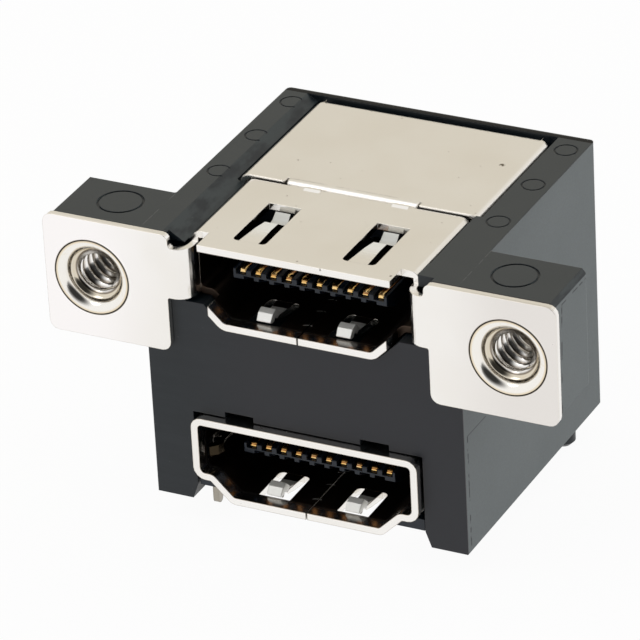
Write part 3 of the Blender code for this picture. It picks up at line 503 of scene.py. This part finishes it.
def markPort(paint, where, colour, turned, gapShadeRing, node, floor, values):
    # The port's inside is painted shade, with a dark line along its seam; the lip's rounded edges are
    # painted brown shade; the side fingers and window walls are painted shade; the top and floor fingers are
    # painted lighter and less metallic as painted light, the top fingers' ends darker; arcs beside the seam
    # are painted highlights; and the left flange is painted lighter than the right, as painted light. Each
    # is a mask that mixes in a colour.
    across, deep, up = (paint.axis(where, name) for name in ("X", "Y", "Z"))
    inside = insideOfPort(paint, where, floor, values)
    above, below, side = fingers(paint, where, floor, values)
    seamHighlights = seamHighlightArcs(paint, where, floor, values) * inside
    start, end = (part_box(node)[0].y + value * mm for value in values["lipSpan"])
    lip = paint.ramp(deep, start, end, 1.0, 0.0) * turned
    if node == "upper_shell":
        lip = lip * (1.0 - up.above((floor + values["lipTop"]) * mm))
    # painted shade: brown on the lip's rounded edges
    colour = paint.mix(lip * 0.8, colour, values["lip"])
    # painted shade inside the port
    colour = paint.mix(inside, colour, values["inside"])
    seam = paint.line(across, 0.0, values["seamHalf"] * mm) * up.below((floor + values["seamSkin"]) * mm)
    colour = paint.mix(seam, colour, values["seam"])
    # painted shade on the side fingers and window walls
    colour = paint.mix(side, colour, values["wall"])
    # painted light: the fingers lighter, and painted highlight arcs beside the seam
    colour = paint.mix(above.larger(below * 0.8).larger(seamHighlights), colour, values["fingerLight"])
    tip = above * deep.above(frontY + values["tipStart"] * mm)
    colour = paint.mix(tip * 0.7, colour, values["tip"])
    # painted light: the left flange lighter than the right
    start, end = (value * mm for value in values["flangeSpan"])
    onFlange = paint.ramp(abs(across), start, end) * deep.below(frontY - values["flangeFront"] * mm)
    flangeLight = paint.mix(across.above(0.0), *values["flanges"])
    colour = paint.mix(onFlange * (1.0 - gapShadeRing) * (1.0 - turned), colour, flangeLight)
    # less metallic where light is painted onto the fingers and the seam's arcs
    metallic = 1.0 - above * 0.85 - below * 0.5 - seamHighlights * 0.9
    return colour, metallic, (inside + above).larger(below)


def markPlate(paint, where, colour, stainAndShade, values):  # a ragged spot on the rear shield's top plate
    x, y = values["place"]
    mark = paint.spot(paint.axis(where, "X"), paint.axis(where, "Y"), (x * mm, frontY + y * mm),
                      values["radius"] * mm)
    mark = mark * paint.ramp(paint.noise(where, *values["ragged"]), *values["raggedSpan"])
    return paint.mix(mark, colour, stainAndShade)


def nickelSheet(name, values, node, floor=None):
    # A broad noise mixes the sheet's two colours, a noise drawn out along x gives its rolling lines, and
    # scratches are where a stretched noise is close to its middle value.
    paint = Painter(bpy.data.materials.new(name))
    where = paint.place()
    cloud = paint.noise(where, *values["cloud"])
    rolled = paint.noise(where, *values["rolling"])
    speck = paint.ramp(paint.noise(where, *values["specks"]), *values["speckSpan"])
    scratch = abs(paint.noise(where, *values["scratches"]) - 0.5)
    scratch = paint.ramp(scratch, 0.0, values["scratchWidth"], 1.0, 0.0)
    scratch = scratch * paint.ramp(paint.noise(where, *values["scratchPatches"]), *values["scratchSpan"])
    colour = paint.mix(paint.ramp(cloud, *values["cloudSpan"]), values["colour"], values["dull"])
    rounded = paint.edges(values["edgeRadius"] * mm)
    turned = paint.edgeMask(rounded)
    # painted shade: the rounded edges darker and warmer
    colour = paint.mix(turned * 0.35, colour, values["edge"])
    colour = paint.mix(speck * 0.6, colour, values["stainAndShade"])
    # painted shade: a dark line on the flange round each insert's head, at the gap
    gap = values["gapShade"] * mm
    radius = paint.axisRadius(where, insertX, insertZ)
    gapShadeRing = paint.ramp(radius, headRadius + gap, headRadius + 2 * gap, 1.0, 0.0)
    gapShadeRing = gapShadeRing * paint.axis(where, "Y").below(frontY)
    colour = paint.mix(gapShadeRing * 0.85, colour, values["stainAndShade"])
    roughness = values["roughness"] + (cloud - 0.5) * 0.08 + (rolled - 0.5) * 0.06 + speck * 0.15
    metallic = 1.0
    if floor:
        colour, metallic, dulled = markPort(paint, where, colour, turned, gapShadeRing, node, floor, port)
        roughness = roughness + dulled * 0.16
    else:
        colour = markPlate(paint, where, colour, values["stainAndShade"], plateMark)
    colour = paint.mix(paint.axis(where, "Z").below(values["board"] * mm), colour, values["tail"])
    height = paint.noise(where, *values["waves"]) * 2.0 + rolled * 0.08 - scratch * 0.15
    normal = paint.bump(height, values["relief"] * mm, rounded)
    return paint.close(Base_Color=colour, Metallic=metallic, Roughness=roughness, Normal=normal)


gold = {
    "colour": (1.0, 0.62, 0.20),
    "pale": (0.95, 0.76, 0.46),
    "goldShade": (0.30, 0.10, 0.03),
    # painted shade: a brown line across the noses and brown behind them
    "rows": (5.22, 17.07),  # heights of the brown line on the two rows of top contacts
    "lineHalf": 0.07,
    "noseEnd": (1.98, 2.25),  # from the front face, where the bright nose turns brown
    "tongueEnd": 8.0,
    "roughness": 0.22,
    "cloud": (1600.0, 3.0, 0.6),
    "cloudSpan": (0.40, 0.80),
    "wiping": (6000.0, 2.0, 0.5, (1.0, 0.12, 1.0)),
    "wear": (520.0, 1.0, 0.5, (1.0, 0.2, 0.2)),
    "wearSpan": (0.40, 0.60),
    "relief": 0.0015,
}


def goldPlating(name, values):
    # A noise mixes bright and pale gold. Brown painted shade lies on a line at each row's height and behind
    # the noses.
    paint = Painter(bpy.data.materials.new(name))
    where = paint.place()
    deep, up = paint.axis(where, "Y"), paint.axis(where, "Z")
    cloud = paint.noise(where, *values["cloud"])
    wiped = paint.noise(where, *values["wiping"])
    colour = paint.mix(paint.ramp(cloud, *values["cloudSpan"]), values["colour"], values["pale"])
    worn = paint.ramp(paint.noise(where, *values["wear"]), *values["wearSpan"])
    lower, upper = (paint.line(up, height * mm, values["lineHalf"] * mm) for height in values["rows"])
    start, end = (frontY + value * mm for value in values["noseEnd"])
    behind = paint.ramp(deep, start, end) * deep.below(frontY + values["tongueEnd"] * mm) * 0.85
    colour = paint.mix(lower.larger(upper * worn).larger(behind), colour, values["goldShade"])
    roughness = values["roughness"] + (cloud - 0.5) * 0.15 + (wiped - 0.5) * 0.1
    normal = paint.bump(wiped, values["relief"] * mm)
    return paint.close(Base_Color=colour, Metallic=1.0, Roughness=roughness, Normal=normal)


turned = {
    "colour": (0.90, 0.87, 0.82),
    # painted light: bright crests, with shaded grooves and throat
    "inside": (0.70, 0.63, 0.51),
    "bore": (0.93, 0.91, 0.88),
    "grooveShade": (0.22, 0.18, 0.14),
    "brass": (0.78, 0.62, 0.36),
    "stainAndShade": (0.05, 0.035, 0.03),
    "roughness": 0.12,
    "crestSpan": (1.28, 1.46),  # radii between which the bore darkens
    "throatSpan": (1.60, 1.95),  # radii between which the funnel turns bright
    "boreSpan": (1.45, 1.55),
    "brassWidth": 0.20,  # from the rim inwards
    "rimShadeWidth": 0.07,
    "rimShadeFull": 0.014,
    "cloud": (700.0, 3.0, 0.6),
    "bare": (2300.0, 3.0, 0.6),
    "bareSpan": (0.60, 0.76),
    "ringScale": 16000.0,  # per metre
    "relief": 0.002,
    "nick": (-0.50, -2.40),  # on the left insert, from its middle
    "nickRadius": 0.11,
    "nickDepth": 0.5,
}


def turnedMetal(name, values, middle):
    # Turning rings are a flat noise of radius and depth. The colour goes by the radius: grooves darkened as
    # painted shade, crests lighter as a painted highlight, the brownish throat as painted shade, the bright
    # funnel, a brass-coloured rim and a dark edge that is painted shade.
    paint = Painter(bpy.data.materials.new(name))
    where = paint.place()
    depth = paint.axis(where, "Y") - middle[1]
    radius = paint.axisRadius(where, insertX, middle[2])
    rings = paint.add("ShaderNodeTexNoise", {"noise_dimensions": "2D"},
                      {"Vector": paint.add("ShaderNodeCombineXYZ", None, {"X": radius, "Y": depth}),
                       "Scale": values["ringScale"], "Detail": 2.0})
    cloud = paint.noise(where, *values["cloud"])
    bare = paint.ramp(paint.noise(where, *values["bare"]), *values["bareSpan"])
    brass, stainAndShade, full = (headRadius - values[key] * mm for key in ("brassWidth", "rimShadeWidth", "rimShadeFull"))
    crests, throat, bore = (tuple(value * mm for value in values[key])
                            for key in ("crestSpan", "throatSpan", "boreSpan"))
    threads = paint.mix(paint.ramp(radius, *crests), values["bore"], values["grooveShade"])
    colour = paint.mix(paint.ramp(radius, *throat, 1.0, 0.0), values["colour"], values["inside"])
    colour = paint.mix(paint.ramp(radius, *bore, 1.0, 0.0), colour, threads)
    rim = paint.ramp(radius, brass, stainAndShade)
    colour = paint.mix((bare * 0.25).larger(rim * 0.6), colour, values["brass"])
    # painted shade: a dark line at the rim's edge, at the gap
    colour = paint.mix(paint.ramp(radius, stainAndShade, full) * 0.9, colour, values["stainAndShade"])
    if middle[0] < 0:
        x, z = values["nick"]
        place = (middle[0] + x * mm, middle[2] + z * mm)
        nick = paint.spot(paint.axis(where, "X"), paint.axis(where, "Z"), place, values["nickRadius"] * mm)
        colour = paint.mix(nick * depth.below(values["nickDepth"] * mm), colour, values["stainAndShade"])
    normal = paint.bump(rings * 0.5 + cloud * 0.5, values["relief"] * mm)
    roughness = values["roughness"] + (cloud - 0.5) * 0.10 + (rings - 0.5) * 0.06
    return paint.close(Base_Color=colour, Metallic=1.0, Roughness=roughness, Normal=normal)


smootherPlastic = {**plastic, "roughness": 0.34}
rounderNickel = {**nickel, "edgeRadius": 0.22}
bluish = (1.0, 1.1, 1.5)
insulatorFinish = mouldedPlastic("mouldedInsulator", smootherPlastic, bluish)
goldFinish = goldPlating("goldPlating", gold)
nodeFinish = {
    "housing": mouldedPlastic("mouldedHousing", plastic, marks=housingMarks),
    "upper_insulator": insulatorFinish,
    "lower_insulator": insulatorFinish,
    "tail_aligner": insulatorFinish,
    "upper_shell": nickelSheet("nickelUpper", nickel, "upper_shell", port["upperFloor"]),
    "lower_shell": nickelSheet("nickelLower", nickel, "lower_shell", port["lowerFloor"]),
    "rear_shield": nickelSheet("nickelRear", rounderNickel, "rear_shield"),
}
for nodeName, node in nodes.items():
    node.data.materials.clear()
    node.data.materials.append(nodeFinish.get(nodeName, goldFinish))
print("finishes made,", len(bpy.data.materials), "materials")


insert = {
    "bodyStep": 0.3,
    "headDepth": 1.37,
    "headChamfer": 0.02,
    "rimRound": 0.06,
    "rimRadius": 2.30,
    "funnelRadius": 1.74,
    "funnelDepth": 0.55,
    "funnelTurn": 68.0,  # degrees
    "rimDepth": 0.01,
    "innerRadius": 1.54,
    "innerDepth": 0.84,
    "innerLip": 0.06,
    "innerStep": 0.05,
    "minorRadius": 1.18,
    "majorRadius": 1.52,
    "threadPitch": 0.66,
    "threadFade": 0.15,
    "flankSlope": 1.35,
    "crestLand": 0.12,  # how far the wave is lowered, as a share of its height, to leave a flat crest
    "backLead": 0.25,
    "backCountersink": 0.08,
    "sides": 96,
    "perPitch": 12,
}


def insertProfile(outerRadius, length, values):
    # The closed profile as radius and depth from the front face, and how much thread each point has.
    # The funnel is a part of an ellipse that turns from the rim down to the inner ring.
    rim, lip = values["rimRound"], values["innerLip"]
    turn = np.linspace(0.0, math.pi / 2, 5)
    outerRim = np.stack([outerRadius - rim + rim * np.sin(turn), rim - rim * np.cos(turn)], 1)
    body = outerRadius - values["bodyStep"]
    head = values["headDepth"]
    outside = np.array([[outerRadius, head], [body, head + values["headChamfer"]], [body, length - rim],
                        [body - rim, length], [values["majorRadius"] + values["backCountersink"], length]])
    threaded = length - values["innerDepth"] - values["backLead"]
    count = int(threaded / values["threadPitch"] * values["perPitch"])
    depth = np.linspace(length - values["backLead"], values["innerDepth"], count)
    bore = np.stack([np.full(count, values["minorRadius"]), depth], 1)
    inner = np.array([[values["innerRadius"], values["innerDepth"] - lip],
                      [values["funnelRadius"] - values["innerStep"], values["funnelDepth"] + lip]])
    last = math.radians(values["funnelTurn"])
    bend = np.linspace(0.0, last, 16)
    wide = (values["rimRadius"] - values["funnelRadius"]) / (1 - math.cos(last))
    rise = 1 - np.sin(bend) / math.sin(last)
    funnel = np.stack([values["funnelRadius"] + wide * (1 - np.cos(bend)),
                       values["funnelDepth"] * rise + values["rimDepth"]], 1)
    profile = np.concatenate([outerRim, outside, bore, inner, funnel])
    amount = np.zeros(len(profile))
    start = len(outerRim) + len(outside)
    amount[start:start + count] = 1.0
    return profile, amount


def insertMesh(name, node, values):
    # Turns the profile about the insert's axis. In the bore the radius follows a right-hand helix: the
    # minor radius plus the thread's depth times a clipped triangle wave of depth over pitch less turns.
    low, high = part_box(node)
    centre = np.array([(low.x + high.x) / 2, low.y, (low.z + high.z) / 2])
    profile, amount = insertProfile((high.x - low.x) / 2 / mm, (high.y - low.y) / mm, values)
    angle = np.linspace(0.0, 2 * math.pi, values["sides"], endpoint=False)
    phase = (profile[:, 1, None] / values["threadPitch"] - angle[None, :] / (2 * math.pi)) % 1.0
    triangle = 1.0 - np.abs(2.0 * phase - 1.0)
    wave = np.clip(values["flankSlope"] * triangle - values["crestLand"], 0.0, 1.0)
    fade = np.clip((profile[:, 1] - values["innerDepth"]) / values["threadFade"], 0.0, 1.0)
    cut = (values["majorRadius"] - values["minorRadius"]) * amount * fade
    radius = profile[:, 0, None] + wave * cut[:, None]
    depth = np.broadcast_to(profile[:, 1, None], radius.shape)
    points = np.stack([radius * np.sin(angle), depth, radius * np.cos(angle)], 2) * mm + centre
    return gridMesh(name, points), tuple(centre)


for hand in ("left", "right"):
    insertShape, insertMiddle = insertMesh("threadedInsert_" + hand, "insert_" + hand, insert)
    piece("threadedInsert_" + hand, insertShape, turnedMetal("turnedMetal_" + hand, turned, insertMiddle),
          "insert_metal", "insert_" + hand)
print("threaded inserts made")


contact = {
    "width": 0.5,
    "thickness": 0.22,
    "bend": 0.4,
    "noseLength": 0.34,
    "noseHeight": 0.29,
    "noseWidth": 0.30,
    "noseStart": 0.06,  # radians, so that the nose's end is a small flat
    "taper": 1.2,
    "squareness": 3.2,
    "sides": 20,
}


def contactMesh(name, node, values):
    # Carries a superellipse along a middle line in the y-z plane: a nose whose top is a quarter of an
    # ellipse, a straight run that gets thinner, a quarter turn and a straight tail.
    low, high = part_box(node)
    wide, thick, bend, nose, tall, narrow, taper = (values[key] * mm for key in (
        "width", "thickness", "bend", "noseLength", "noseHeight", "noseWidth", "taper"))
    bottom, row = high.z - thick, high.y - thick / 2
    middle = bottom + thick / 2
    swing = np.linspace(values["noseStart"], math.pi / 2, 10)
    turn = np.linspace(0.0, math.pi / 2, 7)
    noseTall, noseY = tall * np.sin(swing), low.y + nose * (1 - np.cos(swing))
    y = np.concatenate([noseY, [low.y + nose + taper], row - bend + bend * np.sin(turn), [row]])
    z = np.concatenate([bottom + noseTall / 2, [middle], middle - bend * (1 - np.cos(turn)), [low.z]])
    halfTall = np.concatenate([noseTall, np.full(len(turn) + 2, thick)]) / 2
    halfWide = np.full(len(y), wide / 2)
    halfWide[:len(swing)] = narrow / 2 + (wide - narrow) / 2 * np.sin(swing)
    lean = np.concatenate([np.zeros(len(swing) + 1), turn, [math.pi / 2]])[:, None]
    angle = np.linspace(0.0, 2 * math.pi, values["sides"], endpoint=False)
    power = 2.0 / values["squareness"]
    across = np.sign(np.cos(angle)) * np.abs(np.cos(angle)) ** power * halfWide[:, None]
    over = np.sign(np.sin(angle)) * np.abs(np.sin(angle)) ** power * halfTall[:, None]
    x = (low.x + high.x) / 2 + across
    points = np.stack([x, y[:, None] + np.sin(lean) * over, z[:, None] + np.cos(lean) * over], 2)
    return gridMesh(name, points, True)


for level in ("lower", "upper"):
    for number in range(10, 20):
        label = level + "_contact_" + str(number)
        piece("formedContact_" + level + str(number), contactMesh(label, label, contact), goldFinish,
              "contact_gold", label)
print("formed contacts made")


studio = {
    "floorSize": 3.0,  # metres
    "floorColour": (0.88, 0.88, 0.88),
    "floorGlow": 0.95,  # how much of the floor's look is its own white
    "surround": (1.0, 1.0, 1.0),
    "backWall": (0.73, 0.69, 0.60),
    "backWay": (-0.405, 0.778, 0.480),
    "backSpan": (0.55, 0.90),  # cosines of the angle from that way
    "dark": (0.035, 0.035, 0.035),
    "darkWay": (0.405, -0.778, 0.480),
    "darkSpan": (0.70, 0.95),
    "keyPlace": (-0.245, -0.270, 0.440),  # metres
    "keySize": (0.22, 0.22),  # metres
    "keyPower": 0.17,  # watts
    "keyAim": (0.0, 0.0, 0.01),  # metres
}


def studioFloor(values):
    # A square whose look is a mix of its lit white and its own glow for the rays that show it
    half = values["floorSize"] / 2
    corners = [(-half, -half, 0), (half, -half, 0), (half, half, 0), (-half, half, 0)]
    mesh = bpy.data.meshes.new("studioFloor")
    mesh.from_pydata(corners, [], [(0, 1, 2, 3)])
    floor = bpy.data.objects.new("studioFloor", mesh)
    scene.collection.objects.link(floor)
    paint = Painter(bpy.data.materials.new("paleFloor"))
    lit = paint.add("ShaderNodeBsdfDiffuse", None, {"Color": rgba(values["floorColour"])})
    glow = paint.add("ShaderNodeEmission", None, {"Color": (1.0, 1.0, 1.0, 1.0), "Strength": 1.0})
    shader = paint.add("ShaderNodeMixShader", None, {0: paint.seen() * values["floorGlow"], 1: lit, 2: glow})
    paint.add("ShaderNodeOutputMaterial", None, {"Surface": shader})
    mesh.materials.append(paint.owner)


def softBox(name, place, aim, size, power):  # a rectangular lamp turned towards its aim
    lamp = bpy.data.lights.new(name, "AREA")
    lamp.shape = "RECTANGLE"
    lamp.size, lamp.size_y = size
    lamp.energy = power
    thing = bpy.data.objects.new(name, lamp)
    thing.location = place
    thing.rotation_euler = (Vector(aim) - Vector(place)).to_track_quat("-Z", "Y").to_euler()
    scene.collection.objects.link(thing)


def studioWorld(values):
    # A white surround with a dimmer warm wall behind the part and a dark room behind the camera
    paint = Painter(bpy.data.worlds.new("studioWorld"))
    scene.world = paint.owner
    way = paint.add("ShaderNodeTexCoord", output="Generated")
    behind = paint.ramp(paint.dot(way, values["backWay"]), *values["backSpan"])
    level = paint.mix(behind, values["surround"], values["backWall"])
    before = paint.ramp(paint.dot(way, values["darkWay"]), *values["darkSpan"])
    level = paint.mix(before, level, values["dark"])
    level = paint.mix(paint.add("ShaderNodeLightPath", output="Is Camera Ray"), level, (1.0, 1.0, 1.0))
    glow = paint.add("ShaderNodeBackground", None, {"Color": level, "Strength": 1.0})
    paint.add("ShaderNodeOutputWorld", None, {"Surface": glow})


studioFloor(studio)
studioWorld(studio)
softBox("keyLight", studio["keyPlace"], studio["keyAim"], studio["keySize"], studio["keyPower"])
scene.view_settings.view_transform = "Standard"
print("studio lit")


camera = {
    "azimuth": 27.530,  # degrees
    "elevation": 28.715,
    "roll": -3.104,
    "distance": 333.04,
    "lens": 314.96,
    "sensor": 36.0,
    "nearest": 10.0,
    "aim": (-1.305, 5.0, -7.061),  # from the middle of the top front edge
}


def photoCamera(values):
    # Looks at the aim along the way given by azimuth and elevation, turned about that way by the roll
    azimuth, elevation, roll = (math.radians(values[name]) for name in ("azimuth", "elevation", "roll"))
    back = Vector((math.sin(azimuth) * math.cos(elevation), -math.cos(azimuth) * math.cos(elevation),
                   math.sin(elevation)))
    right = Vector((0, 0, 1)).cross(back).normalized()
    up = back.cross(right)
    rolledRight = right * math.cos(roll) + up * math.sin(roll)
    rolledUp = up * math.cos(roll) - right * math.sin(roll)
    aim = Vector((0, frontY, topZ)) + Vector(values["aim"]) * mm
    data = bpy.data.cameras.new("photoCamera")
    data.lens = values["lens"]
    data.sensor_width = values["sensor"]
    data.clip_start = values["nearest"] * mm
    thing = bpy.data.objects.new("photoCamera", data)
    place = Matrix((rolledRight, rolledUp, back)).transposed().to_4x4()
    place.translation = aim + back * values["distance"] * mm
    thing.matrix_world = place
    scene.collection.objects.link(thing)
    scene.camera = thing


photoCamera(camera)
print("camera placed")
